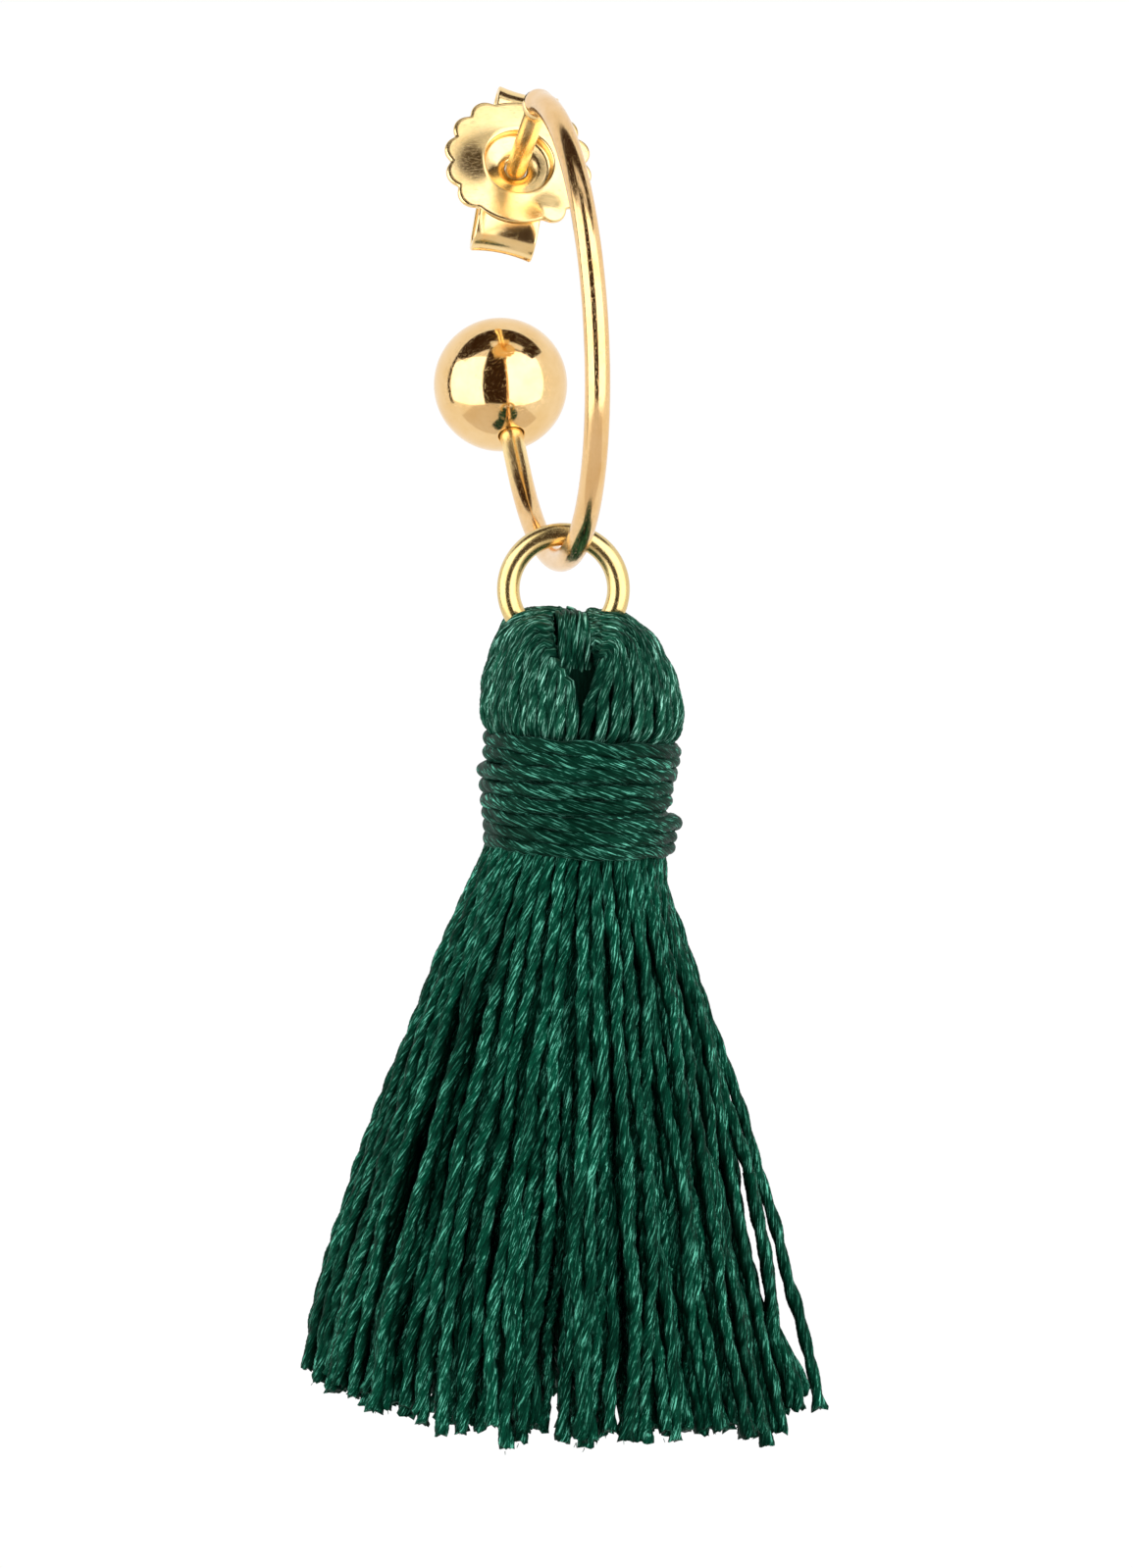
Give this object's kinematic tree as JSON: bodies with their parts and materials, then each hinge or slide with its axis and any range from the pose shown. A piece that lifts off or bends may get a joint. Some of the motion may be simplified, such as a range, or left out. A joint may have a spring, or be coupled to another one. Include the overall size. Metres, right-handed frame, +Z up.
{
  "type": "tassel earring",
  "caption": "Drop earring: a wire hoop on an ear post with a scroll nut, a bead at the hoop's end, and a thread tassel hung from it by a jump ring.",
  "frame": {"origin": "the piercing: on the ear post's axis, midway between the hoop wire's soldered end and the face of the ear nut", "axes": "+Z up as the earring hangs, -Y towards the front of the earring, +X to the right as seen from the front; the hoop's plane holds Y and leans 3.3 degrees from Z"},
  "size_m": [0.0144, 0.0161, 0.039],
  "materials": {
    "gold": "polished warm gold plate",
    "pale_gold": "polished pale gold plate",
    "thread": "twisted deep green embroidery thread with a silky sheen"
  },
  "bodies": {
    "hoop": {"ear_hoop": "gold", "end_bead": "gold"},
    "nut": {"ear_nut": "gold"},
    "drop": {"jump_ring": "pale_gold", "tassel": "thread", "tassel_binding": "thread"}
  },
  "joints": [
    {"name": "drop_swing", "type": "hinge", "parent": "hoop", "child": "drop", "pos_m": [0.00071, -0.00149, -0.01223], "axis": [0, 1, 0], "range_deg": [-80, 80]},
    {"name": "nut_slide", "type": "slide", "parent": "hoop", "child": "nut", "axis": [0.0234, 0.9135, -0.4061], "range_m": [-0.001, 0.0036]}
  ]
}
